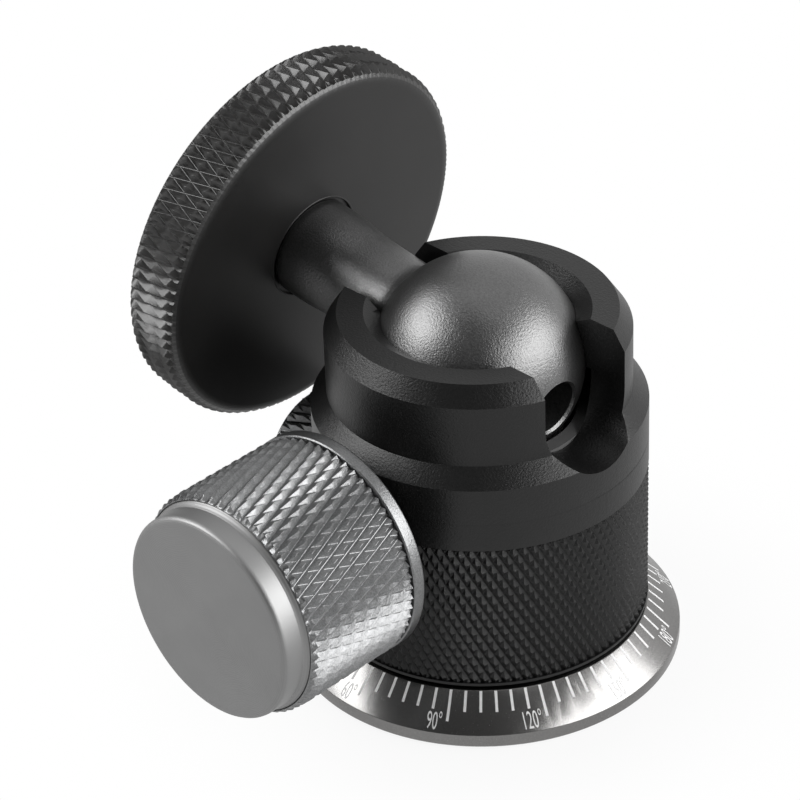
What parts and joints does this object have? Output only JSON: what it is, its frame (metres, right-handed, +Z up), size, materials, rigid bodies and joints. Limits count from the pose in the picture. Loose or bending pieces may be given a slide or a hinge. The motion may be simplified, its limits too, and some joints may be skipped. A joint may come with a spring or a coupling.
{
  "type": "tripod ball head",
  "caption": "Panning tripod ball head with a slotted socket, degree dial, two knurled lock knobs and a round knurled platform with a camera stud.",
  "frame": {"origin": "mouth of the tripod thread, at the centre of the base's underside, on the pan axis", "axes": "+Z up along the pan axis; at rest the neck lies in the slot on the -X side, 9.5 degrees above level, and the lock knob points along -Y"},
  "size_m": [0.0678, 0.072, 0.0718],
  "materials": {
    "housing_black": "black anodised, satin",
    "platform_black": "black anodised, satin",
    "ball_grey": "bead blasted, dark grey anodised",
    "knob_grey": "titanium grey anodised",
    "dial_grey": "turned, grey anodised",
    "dial_white": "white paint in engraved marks",
    "steel": "turned steel",
    "brass": "turned brass",
    "slip_plastic": "low-friction plastic",
    "cup_plastic": "dark filled acetal",
    "rubber": "moulded rubber"
  },
  "bodies": {
    "base": {"base_dial": "dial_grey", "thread_bush": "steel", "pan_spindle": "steel", "spindle_screws": "steel", "pan_washer_lower": "slip_plastic", "pan_washer_upper": "slip_plastic"},
    "head": {"housing": "housing_black", "pan_bearing_ring": "brass", "support_plate": "steel", "lock_bush": "brass", "lock_retainer": "steel", "lock_washer": "slip_plastic", "pan_bush": "brass"},
    "lock": {"lock_screw": "steel", "lock_knob": "knob_grey", "lock_knob_washer": "steel", "lock_knob_screw": "steel", "lock_knob_cap": "knob_grey"},
    "wedge": {"lock_wedge": "steel"},
    "cup": {"ball_cup": "cup_plastic"},
    "liner": {"ball_liner": "slip_plastic"},
    "ball": {"ball": "ball_grey"},
    "platform": {"platform": "platform_black", "platform_pad": "rubber", "camera_stud": "steel", "stud_jam_screw": "steel"},
    "shoe": {"pan_brake_shoe": "brass"},
    "pan_lock": {"pan_screw": "steel", "pan_knob": "knob_grey", "pan_knob_cap": "knob_grey"}
  },
  "joints": [
    {"name": "pan", "type": "hinge", "parent": "base", "child": "head", "pos_m": [0, 0, 0.0151], "axis": [0, 0, 1], "continuous": true},
    {"name": "lock_turn", "type": "hinge", "parent": "head", "child": "lock", "pos_m": [0, -0.03, 0.0271], "axis": [0, -1, 0], "range_deg": [0, 360]},
    {"name": "wedge_travel", "type": "slide", "parent": "head", "child": "wedge", "axis": [0, -1, 0], "range_m": [0, 0.001]},
    {"name": "cup_drop", "type": "slide", "parent": "head", "child": "cup", "axis": [0, 0, -1], "range_m": [0, 0.0002125]},
    {"name": "ball_tilt", "type": "hinge", "parent": "head", "child": "liner", "pos_m": [0, 0, 0.0411], "axis": [-0.9966, 0, 0.0828], "range_deg": [-35, 35]},
    {"name": "ball_swing", "type": "hinge", "parent": "liner", "child": "ball", "pos_m": [0, 0, 0.0411], "axis": [0, 1, 0], "range_deg": [0, 170.5]},
    {"name": "ball_spin", "type": "hinge", "parent": "ball", "child": "platform", "pos_m": [0, 0, 0.0411], "axis": [-0.9863, 0, 0.165], "continuous": true},
    {"name": "pan_shoe_travel", "type": "slide", "parent": "head", "child": "shoe", "axis": [-1, 0, 0], "range_m": [0, 0.0006]},
    {"name": "pan_lock_turn", "type": "hinge", "parent": "shoe", "child": "pan_lock", "pos_m": [-0.025, 0, 0.01495], "axis": [-1, 0, 0], "range_deg": [0, 270]}
  ],
  "couplings": [
    {"joint": "wedge_travel", "follows": "lock_turn", "m_per_rad": 0.00015915},
    {"joint": "cup_drop", "follows": "lock_turn", "m_per_rad": 0.00003382},
    {"joint": "pan_lock_turn", "follows": "pan_shoe_travel", "rad_per_m": 7854}
  ]
}
